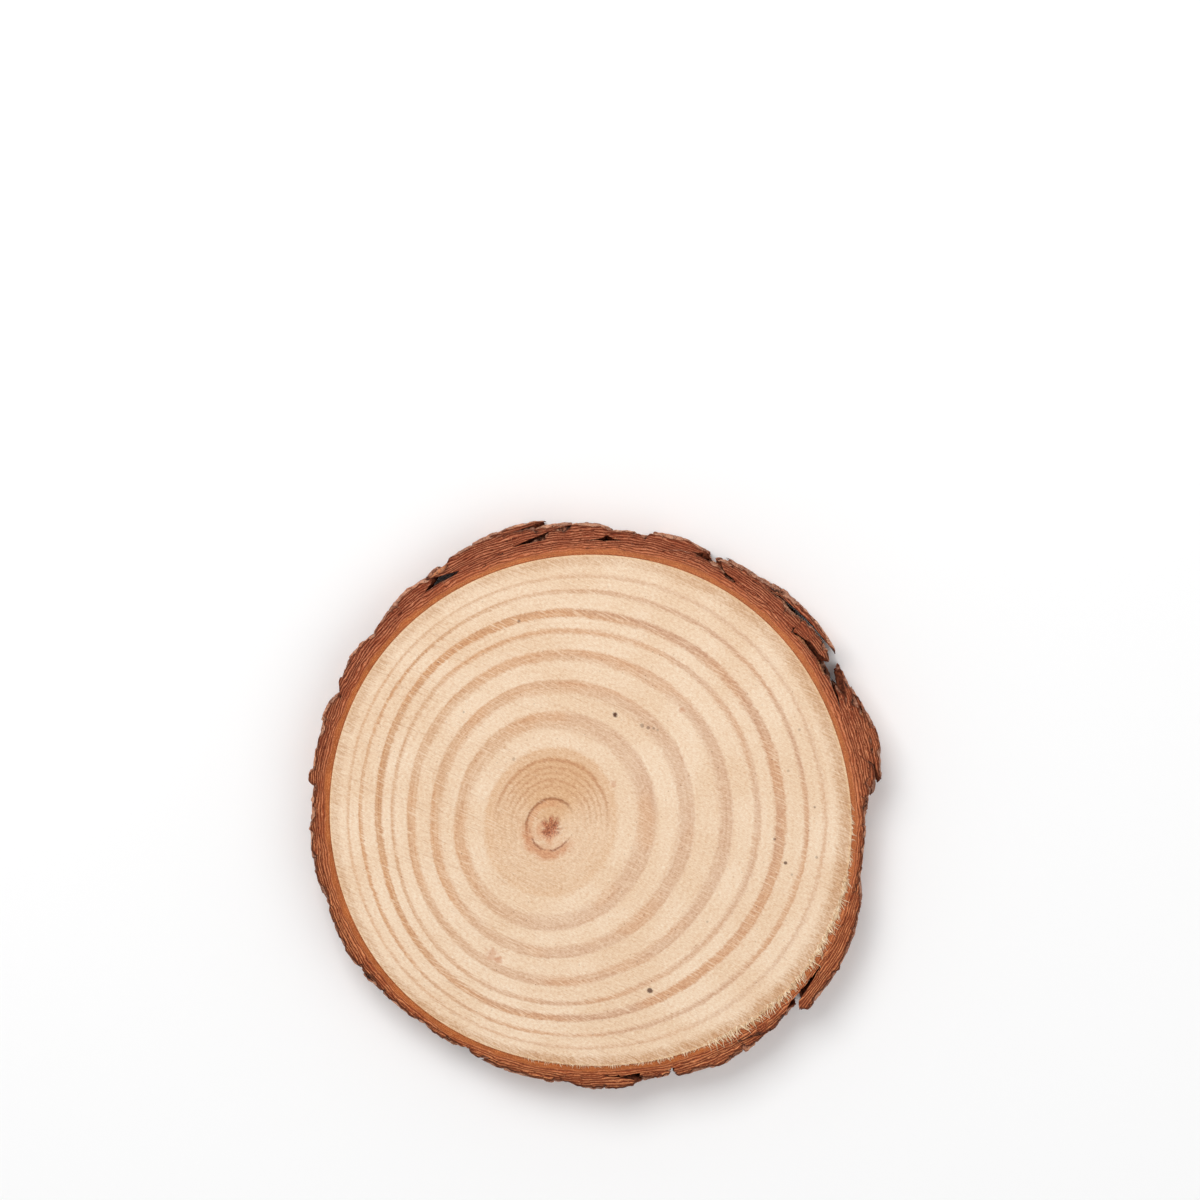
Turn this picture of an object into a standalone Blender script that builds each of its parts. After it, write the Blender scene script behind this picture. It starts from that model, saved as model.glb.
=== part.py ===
"""A slice sawn across a young pine trunk, with its bark on, lying on one sawn face.

Run with blender --background --python part.py, or from Blender's text editor.
Units are metres and +Z is up. The origin is the middle of the footprint, on the lower face.
Wood and bark grew as one piece, so the slice is one solid in one object.
"""
import math

import bmesh
import bpy
from mathutils import Matrix, Vector, noise

MM = 0.001

# Driving dimensions
THICKNESS = 10.0 * MM
WOOD_RADIUS = 47.0 * MM

# The wood isn't a true circle. Each wave goes round it so many times, stands so high (mm),
# and has its first crest in this direction (degrees, anticlockwise from +X).
WOOD_WAVES = ((1, 0.25, -85), (2, 0.57, -23), (3, 0.38, -37), (4, 0.31, -39))

# Bark plates, anticlockwise: the direction where a plate starts (degrees) and its thickness (mm).
# A plate ends where the next one starts, and the last one ends where the first starts.
BARK_PLATES = (
    (-7, 3.4), (3, 5.1), (17, 4.4), (26, 6.3), (50, 4.8), (64, 5.3),
    (79, 4.4), (85, 5.6), (99, 7.0), (124, 5.7), (133, 4.6), (147, 3.7),
    (174, 3.1), (190, 3.0), (206, 3.4), (217, 2.4), (245, 3.1), (262, 3.6),
    (274, 3.2), (281, 3.7), (309, 2.7), (312, 4.8), (322, 3.8), (335, 2.0),
)
PLATE_STEP = 1.6          # degrees over which one plate's surface steps to the next
PLATE_EDGE_WANDER = 2.2   # degrees that a plate's edge strays between the sawn faces
PLATE_CROWN = 0.2 * MM    # how far a plate swells at its middle
BARK_ROUGHNESS = 0.25 * MM
BARK_GRAIN = 7.0 * MM     # size of the bark's bumps round the trunk; along it they are longer
BARK_GRAIN_STRETCH = 2.0

# Cracks between plates: direction (degrees), depth and width at the surface (mm)
CRACKS = (
    (3.5, 2.2, 1.0), (26.5, 2.6, 1.1), (50.5, 1.8, 0.9), (82, 2.0, 1.3), (99.5, 2.4, 0.9),
    (133.5, 2.0, 1.1), (190.5, 1.3, 0.8), (217.5, 1.2, 0.9), (262.5, 1.2, 0.9), (311, 1.6, 1.0),
)
CRACK_OVERSHOOT = 2.0 * MM  # how far a crack's cutter stands out of the bark and past the faces

SEGMENTS = 240  # vertices round the slice
LEVELS = 9      # rows of faces from one sawn face to the other


def clear_scene():
    """Remove whatever the open file holds."""
    for obj in list(bpy.data.objects):
        bpy.data.objects.remove(obj, do_unlink=True)


def new_collection(name):
    collection = bpy.data.collections.new(name)
    bpy.context.scene.collection.children.link(collection)
    return collection


def new_material(name, colour, roughness):
    material = bpy.data.materials.new(name)
    material.use_nodes = True
    shader = material.node_tree.nodes["Principled BSDF"]
    shader.inputs["Base Color"].default_value = (*colour, 1.0)
    shader.inputs["Roughness"].default_value = roughness
    shader.inputs["Metallic"].default_value = 0.0
    material.diffuse_color = (*colour, 1.0)
    return material


def smooth_step(x):
    x = min(max(x, 0.0), 1.0)
    return x * x * (3.0 - 2.0 * x)


def wood_radius(angle):
    """Distance from the trunk's middle to the edge of the wood, in a direction in degrees."""
    waves = sum(
        height * math.cos(math.radians(times * (angle - crest))) for times, height, crest in WOOD_WAVES
    )
    return WOOD_RADIUS + waves * MM


def plate_thickness(angle):
    """Thickness of the bark in a direction: a crowned plate, with a short step to the next one."""
    first = BARK_PLATES[0][0]
    angle = (angle - first) % 360.0 + first
    index = max(i for i, (start, _) in enumerate(BARK_PLATES) if start <= angle)
    start, thickness = BARK_PLATES[index]
    end = BARK_PLATES[index + 1][0] if index + 1 < len(BARK_PLATES) else first + 360.0
    before = BARK_PLATES[index - 1][1]
    across = (angle - start) / (end - start)
    crown = PLATE_CROWN * math.sin(math.pi * across)
    rise = smooth_step((angle - start) / PLATE_STEP)
    return (before + (thickness - before) * rise) * MM + crown


def bark_thickness(angle, height):
    """Bark thickness in a direction and at a height, with wandering plate edges and rough skin."""
    along = height / (BARK_GRAIN * BARK_GRAIN_STRETCH)
    around = Vector((math.cos(math.radians(angle)), math.sin(math.radians(angle)), 0.0))
    around *= WOOD_RADIUS / BARK_GRAIN
    wander = noise.noise(around + Vector((0.0, 0.0, 2.0 * along))) * 2.0 * PLATE_EDGE_WANDER
    rough = noise.noise(around * 2.0 + Vector((5.0, 0.0, along))) * 2.0 * BARK_ROUGHNESS
    return plate_thickness(angle + wander) + rough


def trunk_cylinder(radius):
    """A capped cylinder as tall as the slice, its side divided into rows."""
    bm = bmesh.new()
    bmesh.ops.create_cone(
        bm, cap_ends=True, cap_tris=False, segments=SEGMENTS, radius1=radius, radius2=radius,
        depth=THICKNESS, matrix=Matrix.Translation((0.0, 0.0, THICKNESS / 2.0)),
    )
    upright = [e for e in bm.edges if abs(e.verts[0].co.z - e.verts[1].co.z) > THICKNESS / 2.0]
    bmesh.ops.subdivide_edges(bm, edges=upright, cuts=LEVELS - 1)
    return bm


def shape_bark(bm):
    """Move each vertex out to the bark's surface."""
    for vert in bm.verts:
        angle = math.degrees(math.atan2(vert.co.y, vert.co.x))
        radius = wood_radius(angle) + bark_thickness(angle, vert.co.z)
        direction = Vector((vert.co.x, vert.co.y)).normalized()
        vert.co.xy = direction * radius


def footprint_middle(bm):
    xs = [vert.co.x for vert in bm.verts]
    ys = [vert.co.y for vert in bm.verts]
    return Vector(((min(xs) + max(xs)) / 2.0, (min(ys) + max(ys)) / 2.0, 0.0))


def new_object(name, bm, collection, materials):
    mesh = bpy.data.meshes.new(name)
    bm.to_mesh(mesh)
    bm.free()
    for material in materials:
        mesh.materials.append(material)
    obj = bpy.data.objects.new(name, mesh)
    collection.objects.link(obj)
    return obj


def make_slice(collection):
    """The slice itself. Returns it with the place of the trunk's middle."""
    wood = new_material("pine_wood", (0.86, 0.67, 0.46), 0.65)
    bark = new_material("pine_bark", (0.27, 0.13, 0.075), 0.85)
    bm = trunk_cylinder(WOOD_RADIUS)
    shape_bark(bm)
    middle = footprint_middle(bm)
    bmesh.ops.translate(bm, verts=bm.verts, vec=-middle)
    for face in bm.faces:
        face.material_index = 0 if len(face.verts) > 4 else 1
    obj = new_object("wood_slice", bm, collection, (wood, bark))
    obj.data.shade_smooth()
    obj.data.set_sharp_from_angle(angle=math.radians(30.0))
    return obj, -middle


def make_crack_cutters(collection, centre):
    """One triangular prism for each crack, its edge pointing in at the trunk's middle."""
    bm = bmesh.new()
    for angle, depth, width in CRACKS:
        surface = wood_radius(angle) + plate_thickness(angle + PLATE_STEP)
        reach = depth * MM + CRACK_OVERSHOOT
        spread = width / depth * reach
        prism = bmesh.ops.create_cone(
            bm, cap_ends=True, segments=3, radius1=1.0, radius2=1.0,
            depth=THICKNESS + 2.0 * CRACK_OVERSHOOT,
        )["verts"]
        # The primitive's corners stand 1.0 from its axis, one of them towards +Y. Turned, that
        # corner points at -X. It is 1.5 from the base opposite, which is sqrt(3) long.
        turned = Matrix.Rotation(math.radians(90.0), 4, "Z")
        sized = Matrix.Diagonal((reach / 1.5, spread / math.sqrt(3.0), 1.0, 1.0))
        placed = Matrix.Translation((surface - depth * MM + reach / 1.5, 0.0, THICKNESS / 2.0))
        aimed = Matrix.Rotation(math.radians(angle), 4, "Z")
        bmesh.ops.transform(
            bm, verts=prism, matrix=Matrix.Translation(centre) @ aimed @ placed @ sized @ turned
        )
    cutter = new_object("crack_cutters", bm, collection, ())
    cutter.hide_render = True
    cutter.display_type = "WIRE"
    return cutter


def cut_with(obj, cutter):
    boolean = obj.modifiers.new("bark_cracks", "BOOLEAN")
    boolean.operation = "DIFFERENCE"
    boolean.solver = "EXACT"
    boolean.object = cutter


def main():
    clear_scene()
    parts = new_collection("wood_slice")
    cutters = new_collection("cutters")
    wood_slice, centre = make_slice(parts)
    cut_with(wood_slice, make_crack_cutters(cutters, centre))


main()
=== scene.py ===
"""The looks of a sawn pine slice: growth rings, a rim of flaking bark and frayed fibres.

Lengths are in millimetres until a mesh is made. Directions are in degrees round the trunk,
anticlockwise from +X. A bark depth is measured outwards from the edge of the wood.
"""
import math

import bpy
import numpy as np
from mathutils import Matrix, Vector


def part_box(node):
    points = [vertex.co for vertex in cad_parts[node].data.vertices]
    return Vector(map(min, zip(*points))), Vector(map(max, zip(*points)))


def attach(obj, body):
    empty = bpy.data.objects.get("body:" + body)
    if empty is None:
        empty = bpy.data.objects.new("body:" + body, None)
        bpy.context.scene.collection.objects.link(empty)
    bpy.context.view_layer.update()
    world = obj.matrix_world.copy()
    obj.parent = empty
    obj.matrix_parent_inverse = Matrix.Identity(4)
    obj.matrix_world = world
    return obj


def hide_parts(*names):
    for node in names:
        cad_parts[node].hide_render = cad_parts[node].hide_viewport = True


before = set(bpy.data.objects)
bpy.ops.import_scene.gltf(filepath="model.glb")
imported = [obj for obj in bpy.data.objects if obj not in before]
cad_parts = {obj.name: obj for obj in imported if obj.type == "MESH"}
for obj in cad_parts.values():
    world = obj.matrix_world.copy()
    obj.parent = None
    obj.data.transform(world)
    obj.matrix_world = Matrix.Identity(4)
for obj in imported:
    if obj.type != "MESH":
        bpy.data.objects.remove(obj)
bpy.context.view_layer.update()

MM = 0.001

# ---- the trunk's own shape

LOW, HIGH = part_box("wood_slice")
THICKNESS = (HIGH[2] - LOW[2]) / MM
TRUNK_MIDDLE = np.array((-0.7, -1.4))  # from the middle of the footprint
PITH = np.array((-7.3, -3.2))          # from the trunk's middle
WOOD_RADIUS = 47.0
# Each wave goes round the wood so many times, stands so high, and crests in this direction.
WOOD_WAVES = ((1, 0.25, -85), (2, 0.57, -23), (3, 0.38, -37), (4, 0.31, -39))


def wood_edge(angle):
    """Distance from the trunk's middle to the edge of the wood."""
    radius = np.full_like(angle, WOOD_RADIUS)
    for times, height, crest in WOOD_WAVES:
        radius += height * np.cos(np.radians(times * (angle - crest)))
    return radius


def around_trunk(angle, height):
    """Points on a plain cylinder as wide as the wood, for noise that has no seam."""
    turn = np.radians(angle)
    return np.stack((WOOD_RADIUS * np.cos(turn), WOOD_RADIUS * np.sin(turn), height), -1)


def at_depth(angle, depth, height):
    """Points in the slice at a bark depth, in a direction and at a height."""
    turn = np.radians(angle)
    radius = wood_edge(angle) + depth
    x = TRUNK_MIDDLE[0] + radius * np.cos(turn)
    y = TRUNK_MIDDLE[1] + radius * np.sin(turn)
    return np.stack((x, y, height), -1)


# ---- noise on arrays of points

def scramble(cells, seed):
    """A number from 0 to 1 for each whole-numbered cell."""
    keys = cells.astype(np.int64).astype(np.uint64)
    mixed = keys[..., 0] * np.uint64(0x9E3779B97F4A7C15)
    mixed ^= keys[..., 1] * np.uint64(0xC2B2AE3D27D4EB4F)
    mixed ^= keys[..., 2] * np.uint64(0x165667B19E3779F9)
    mixed ^= np.uint64(seed * 7919 + 17)
    for shift in (29, 32, 31):
        mixed = (mixed ^ (mixed >> np.uint64(shift))) * np.uint64(0xBF58476D1CE4E5B9)
    return (mixed >> np.uint64(40)).astype(float) / float(1 << 24)


def scramble_three(cells, seed):
    """Three numbers from 0 to 1 for each cell."""
    return np.stack([scramble(cells, seed + axis) for axis in range(3)], -1)


def bumps(points, seed=0):
    """Smooth noise from about -1 to 1, with bumps about one unit across."""
    cell = np.floor(points)
    part = points - cell
    ease = part * part * part * (part * (part * 6.0 - 15.0) + 10.0)
    total = np.zeros(points.shape[:-1])
    for corner in range(8):
        offset = np.array([(corner >> axis) & 1 for axis in range(3)], float)
        slope = scramble_three(cell + offset, seed * 3) * 2.0 - 1.0
        weight = np.prod(np.where(offset > 0, ease, 1 - ease), -1)
        total += weight * np.sum(slope * (part - offset), -1)
    return total * 1.7


def scales(points, seed=0):
    """Random cells like a jigsaw: each point's cell value, and its distance from the border."""
    cell = np.floor(points)
    nearest = np.full(points.shape[:-1], 9.0)
    second = np.full(points.shape[:-1], 9.0)
    value = np.zeros(points.shape[:-1])
    for step in np.ndindex(3, 3, 3):
        neighbour = cell + np.array(step, float) - 1.0
        centre = neighbour + scramble_three(neighbour, seed * 5)
        gap = np.linalg.norm(points - centre, axis=-1)
        closer = gap < nearest
        second = np.where(closer, nearest, np.minimum(second, gap))
        value = np.where(closer, scramble(neighbour, seed * 5 + 4), value)
        nearest = np.where(closer, gap, nearest)
    return value, second - nearest


def ease_between(low, high, x):
    """0 below low, 1 above high, and smooth between."""
    t = np.clip((x - low) / (high - low), 0, 1)
    return t * t * (3.0 - 2.0 * t)


def along(t, values):
    """Values spaced evenly from t = 0 to 1, read between at t."""
    return np.interp(t, np.linspace(0, 1, len(values)), values)


# ---- node graphs

class Graph:
    """A node tree that is written as calls and expressions."""

    def __init__(self, tree):
        self.tree = tree
        self.made = 0

    def node(self, kind, settings=None, **sockets):
        """Add a node. Settings come first, and sockets are named by name or identifier."""
        node = self.tree.nodes.new(kind)
        node.location = (190.0 * (self.made % 12), -240.0 * (self.made // 12))
        self.made += 1
        for key, value in (settings or {}).items():
            if key == "stops":
                self.set_stops(node.color_ramp, value)
            else:
                setattr(node, key, value)
        for key, value in sockets.items():
            self.feed(self.socket(node.inputs, key), value)
        return node

    def socket(self, sockets, key):
        wanted = key.replace("_", " ").lower()
        known = [socket for socket in sockets if socket.identifier.replace("_", " ").lower() == wanted]
        named = [socket for socket in sockets if socket.name.lower() == wanted and socket.enabled]
        return (known + named)[0]

    def feed(self, socket, value):
        if isinstance(value, Value):
            value = value.socket
        if isinstance(value, bpy.types.NodeSocket):
            self.tree.links.new(value, socket)
        else:
            socket.default_value = value

    def set_stops(self, ramp, stops):
        while len(ramp.elements) < len(stops):
            ramp.elements.new(0.5)
        for element, (place, shade) in zip(ramp.elements, stops):
            element.position = place
            element.color = (shade, shade, shade, 1.0) if isinstance(shade, float) else light(shade)

    def value(self, node, output=0):
        return Value(self, node.outputs[output])

    def vector_maths(self, operation, vector, other=(0, 0, 0)):
        return self.node("ShaderNodeVectorMath", {"operation": operation}, vector=vector, vector_001=other)

    def maths(self, operation, *operands):
        node = self.node("ShaderNodeMath", {"operation": operation})
        for socket, operand in zip(node.inputs, operands):
            self.feed(socket, operand)
        return Value(self, node.outputs[0])


def operator(operation, swapped=False):
    def apply(self, other):
        operands = (other, self) if swapped else (self, other)
        return self.graph.maths(operation, *operands)
    return apply


class Value:
    """A number that varies over a surface. Using it in an expression adds Math nodes."""

    def __init__(self, graph, socket):
        self.graph = graph
        self.socket = socket

    __add__ = operator("ADD")
    __radd__ = operator("ADD", swapped=True)
    __sub__ = operator("SUBTRACT")
    __rsub__ = operator("SUBTRACT", swapped=True)
    __mul__ = operator("MULTIPLY")

    def between(self, low, high):
        """0 below low, 1 above high, smooth between."""
        return self.graph.value(self.graph.node(
            "ShaderNodeMapRange", {"interpolation_type": "SMOOTHSTEP"},
            value=self, from_min=low, from_max=high,
        ))

    def clamped(self):
        return self.graph.value(self.graph.node("ShaderNodeClamp", value=self))


class Finish(Graph):
    """A material with one shader, and the colours painted on it one over another."""

    def __init__(self, name, specular=0.5):
        self.material = bpy.data.materials.new(name)
        self.material.use_nodes = True
        super().__init__(self.material.node_tree)
        self.shader = self.tree.nodes["Principled BSDF"]
        self.shader.inputs["Specular IOR Level"].default_value = specular
        coordinates = self.node("ShaderNodeTexCoord")
        self.place = self.scaled(coordinates.outputs["Object"], (1000, 1000, 1000))  # in mm
        self.tint = None

    def attribute(self, name, output="Vector"):
        return self.node("ShaderNodeAttribute", {"attribute_name": name}).outputs[output]

    def amount(self, name):
        """A number stored at the mesh's points."""
        return Value(self, self.attribute(name, "Fac"))

    def scaled(self, vector, factors):
        return self.vector_maths("MULTIPLY", vector, factors).outputs[0]

    def noise(self, scale, detail=2.0, roughness=0.5, of=None, turn=0):
        """Noise over the place or another vector, turned anticlockwise and then scaled."""
        vector = of or self.place
        if turn:
            vector = self.node(
                "ShaderNodeVectorRotate", {"rotation_type": "Z_AXIS"},
                vector=vector, angle=math.radians(turn),
            ).outputs[0]
        if isinstance(scale, tuple):
            vector = self.scaled(vector, scale)
            scale = 1.0
        return self.value(self.node(
            "ShaderNodeTexNoise", vector=vector, scale=scale, detail=detail, roughness=roughness
        ))

    def towards(self, vector, angle, low, high):
        """1 where a vector faces in a direction, 0 where it faces away."""
        turn = math.radians(angle)
        node = self.vector_maths("DOT_PRODUCT", vector, (math.cos(turn), math.sin(turn), 0.0))
        return self.value(node, 1).between(low, high)

    def mixed(self, share, first, second, blend="MIX"):
        return self.node(
            "ShaderNodeMix", {"data_type": "RGBA", "blend_type": blend},
            factor_float=share, a_color=light(first), b_color=light(second),
        ).outputs[2]

    def ramp(self, share, stops):
        return self.node("ShaderNodeValToRGB", {"stops": stops}, fac=share).outputs[0]

    def paint(self, share, tint):
        """Lay a colour over what is painted already."""
        self.tint = self.mixed(share, self.tint, tint)

    def shade(self, share, stops):
        """Lighten and darken what is painted by a ramp of greys, where 0.5 changes nothing."""
        self.tint = self.mixed(1.0, self.tint, self.ramp(share, stops), "SOFT_LIGHT")

    def done(self, roughness, relief=None, distance=0.0, strength=1.0):
        """Feed the shader, with relief that stands so many millimetres high."""
        self.feed(self.shader.inputs["Base Color"], self.tint)
        self.feed(self.shader.inputs["Roughness"], roughness)
        if relief is not None:
            bump = self.node("ShaderNodeBump", height=relief, distance=distance * MM, strength=strength)
            self.feed(self.shader.inputs["Normal"], bump.outputs[0])
        return self.material


def light(tint):
    """The light that a colour reflects, if it is given as it looks, as levels up to 255."""
    if not isinstance(tint, tuple):
        return tint
    levels = np.array(tint) / 255.0
    linear = np.where(levels <= 0.04045, levels / 12.92, ((levels + 0.055) / 1.055) ** 2.4)
    return (*linear.tolist(), 1.0)


# ---- finishes

# The dark latewood of each growth ring, by its share of the way from pith to bark: where it
# starts to darken, is fully dark, starts to fade and has faded, and how dark it is
LATEWOOD = (
    (0.332, 0.36, 0.402, 0.412, 0.64), (0.466, 0.488, 0.521, 0.529, 0.7),
    (0.592, 0.606, 0.637, 0.643, 0.68), (0.697, 0.709, 0.72, 0.725, 0.72),
    (0.76, 0.769, 0.793, 0.8, 1.0), (0.849, 0.857, 0.866, 0.871, 0.86),
    (0.907, 0.914, 0.921, 0.927, 0.5),
)
# Thin rings in the heart: middle and half width, as shares of the same way, and how dark
HEART_RINGS = (
    (0.142, 0.009, 0.35), (0.163, 0.0075, 0.5), (0.186, 0.0075, 0.4), (0.206, 0.0075, 0.5),
    (0.232, 0.012, 0.65),
)
# Small dark specks: place from the trunk's middle, size, and how dark
SPECKS = (
    (4.3, 17.6, 0.62, 0.95), (10.6, -32.5, 0.62, 0.85), (35.1, -9.3, 0.36, 0.8),
    (33.2, -5.0, 0.38, 0.6), (40.4, 0.8, 0.34, 0.6), (9.2, 15.6, 0.45, 0.45), (10.3, 15.2, 0.4, 0.5),
    (11.3, 15.1, 0.35, 0.45), (12.0, 14.8, 0.3, 0.35), (-13.0, 34.5, 0.4, 0.6),
    (-14.0, 9.5, 0.35, 0.3), (-23.0, 18.0, 0.3, 0.35), (21.0, -20.0, 0.3, 0.3),
    (40.8, -8.3, 0.35, 0.4), (36.3, -11.4, 0.3, 0.35), (35.6, 7.4, 0.3, 0.3), (37.6, 14.8, 0.35, 0.35),
)
# Reddish smudges: place from the trunk's middle, and size
SMUDGES = ((-18.0, -25.9, 1.5), (-16.8, -27.0, 0.9), (16.5, 18.4, 0.7), (3.9, 5.0, 0.8))


def ring_stops():
    """The ramp of lateness across all the growth rings, each darkest on its outer side."""
    stops = [(0.0, 0.0)]
    for start, full, hold, end, dark in LATEWOOD:
        stops += [(start, 0.0), (full, dark * 0.84), (hold, dark * 1.04), (end, 0.0)]
    return stops


def spot(finish, ragged, x, y, size, fray, core):
    """1 in the middle of a ragged spot on the upper face, placed from the trunk's middle."""
    middle = (x + TRUNK_MIDDLE[0], y + TRUNK_MIDDLE[1], THICKNESS)
    away = finish.value(finish.vector_maths("DISTANCE", finish.place, middle), 1)
    away = away + (ragged - 0.5) * size * fray
    return 1 - away.between(size * core, size)


def sawn_pine():
    pine = Finish("sawn_pine", 0.25)
    growth = pine.amount("growth")
    ray = pine.attribute("ray")

    def facing(angle, low, high):
        return pine.towards(ray, angle, low, high)

    # what the saw did: fine diagonal scores, and where they are strongest
    slow = pine.noise(0.09)
    quick = pine.noise(0.9, 3.0)
    scores = pine.noise((0.3, 3.6, 1.0), 3.0, 0.6, turn=27)
    coarse = pine.noise((0.07, 1.9, 1.0), 2.0, 0.6, turn=22)
    cross = pine.noise((0.2, 3.0, 1.0), 2.0, 0.6, turn=68)
    scored = facing(190, -0.6, 0.7) * 0.6 + slow.between(0.38, 0.62) * 0.5

    # growth rings with hairy edges, stronger in some places than in others
    wavering = growth + (slow - 0.5) * 0.006 + (quick - 0.5) * 0.012 + (scores - 0.5) * 0.024
    patchy = pine.noise((1.6, 1.6, 7.0), of=ray)
    threads = pine.noise((2.4, 2.4, 110.0), 3.0, 0.6, of=ray)
    late = Value(pine, pine.ramp(wavering, ring_stops()))
    late = late * (patchy * 0.9 + 0.55) * (threads * 1.3 + 0.35)
    late_tint = pine.mixed(facing(165, -0.3, 0.9), (202, 159, 128), (198, 147, 105))
    late_tint = pine.mixed(patchy.between(0.45, 0.62) * 0.5, late_tint, (212, 158, 114))
    pine.tint = pine.mixed(slow.between(0.35, 0.65), (235, 208, 179), (229, 198, 166))
    pine.paint(late.clamped(), late_tint)

    # the tan heart round the pith, warmest on its upper side
    heart = 1 - (wavering + (slow - 0.5) * 0.03).between(0.262, 0.285)
    tan = pine.mixed(threads.between(0.3, 0.7), (210, 168, 130), (228, 192, 156))
    tan = pine.mixed(wavering.between(0.22, 0.27) * 0.5, tan, (214, 168, 126))
    upper = facing(88, 0.35, 0.95) * (1 - wavering.between(0.235, 0.25))
    tan = pine.mixed(upper * 0.75, tan, (208, 158, 110))
    pine.paint(heart * (facing(110, -0.6, 0.7) * 0.3 + 0.52), tan)
    thin_rings = 0.0
    for middle, half, dark in HEART_RINGS:
        away = pine.maths("ABSOLUTE", wavering - middle)
        thin_rings = thin_rings + (1 - away.between(0.0, half)) * dark
    side = facing(85, -0.2, 0.7) * 0.85 + 0.12
    pine.paint((thin_rings * side).clamped(), (186, 128, 86))

    # the first ring: a thin line with a flush inside it above the pith, a broken orange arc below
    ragged = pine.noise((2.6, 2.6, 20.0), 3.0, 0.6, of=ray)
    ringed = growth + (quick - 0.5) * 0.014 + (ragged - 0.5) * 0.01
    first = pine.maths("ABSOLUTE", ringed - 0.1)
    flush = ringed.between(0.07, 0.082) * ringed.between(0.102, 0.098) * facing(125, 0.2, 0.9)
    pine.paint(flush * 0.5, (208, 144, 100))
    line = first.between(0.009, 0.001) * facing(125, -0.2, 0.6)
    pine.paint(line * 0.7, (142, 80, 40))
    arc = (first + (ragged - 0.5) * 0.05).between(0.036, 0.004) * facing(250, 0.0, 0.75)
    pine.paint(arc * 0.62, (196, 122, 74))
    inmost = pine.maths("ABSOLUTE", ringed - 0.086).between(0.007, 0.001)
    inmost = inmost * ragged.between(0.4, 0.55) * facing(255, 0.1, 0.7)
    pine.paint(inmost * 0.7, (132, 66, 32))

    # the pith: a ragged reddish star, and redder wood on its lower left
    stained = growth.between(0.085, 0.04) * facing(225, -0.4, 0.9) * quick.between(0.3, 0.6)
    pine.paint(stained * 0.6, (204, 132, 88))
    star = (growth + (ragged - 0.5) * 0.085).between(0.05, 0.02)
    crumbly = pine.noise(3.2, 3.0).between(0.42, 0.58)
    pine.paint(star * 0.86, pine.mixed(crumbly, (126, 54, 28), (188, 112, 74)))

    # tan outermost wood, torn by the saw, with a cream line where it meets the bark
    torn = scores.between(0.36, 0.64) * 0.45 + cross.between(0.4, 0.6) * 0.25 + slow.between(0.4, 0.6) * 0.2
    fuzz = (growth + (scores - 0.5) * 0.03 + (quick - 0.5) * 0.02).between(0.944, 0.98)
    fuzz = fuzz * (torn + 0.22) * (facing(315, -0.8, 0.9) * 0.35 + 0.6)
    pine.paint(fuzz.clamped(), pine.mixed(quick, (182, 134, 96), (206, 160, 118)))
    rim = (growth + (quick - 0.5) * 0.01).between(0.991, 0.997)
    pine.paint(rim * 0.4, (236, 200, 154))

    # grain: threads, mottling, pores and short dark dots
    mottled = pine.noise(1.7, 3.0, 0.7)
    pores = pine.noise((1.7, 5.4, 4.0), 2.0, 0.7, turn=27)
    for grain, dark in ((threads, 0.54), (mottled, 0.64), (pores, 0.7)):
        pine.shade(grain, ((0.3, dark), (0.7, 1 - dark)))
    dots = pine.node("ShaderNodeTexVoronoi", vector=pine.place, scale=0.75)
    dot = 1 - pine.value(dots).between(0.04, 0.14)
    chosen = pine.node("ShaderNodeSeparateColor", color=dots.outputs["Color"])
    chosen = pine.value(chosen).between(0.55, 0.6)
    pine.paint(dot * chosen * (late * 0.5 + 0.32), (132, 78, 46))

    # the saw's scores, darker and paler, and palest across the latewood
    scars = scores.between(0.56, 0.7) * 0.5 + coarse.between(0.6, 0.68) * 0.4
    scars = scars * scored + cross.between(0.62, 0.74) * slow.between(0.55, 0.4) * 0.35
    scars = scars.clamped()
    pine.paint(scars * 0.7, (190, 142, 106))
    pine.paint(scores.between(0.44, 0.3) * scored * 0.45, (246, 226, 200))
    pine.paint((scores.between(0.5, 0.36) * late * 0.6).clamped(), (238, 208, 176))

    for x, y, size in SMUDGES:
        pine.paint(spot(pine, quick, x, y, size, 2.4, 0.3) * 0.42, (190, 118, 78))
    for x, y, size, dark in SPECKS:
        pine.paint(spot(pine, quick, x, y, size, 1.6, 0.4) * dark, (78, 38, 20))

    relief = late * 0.4 - scars * 0.8 + mottled * 0.4 + pores * 0.4
    return pine.done(0.55 + pores * 0.2, relief, 0.06, 0.7)


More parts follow.
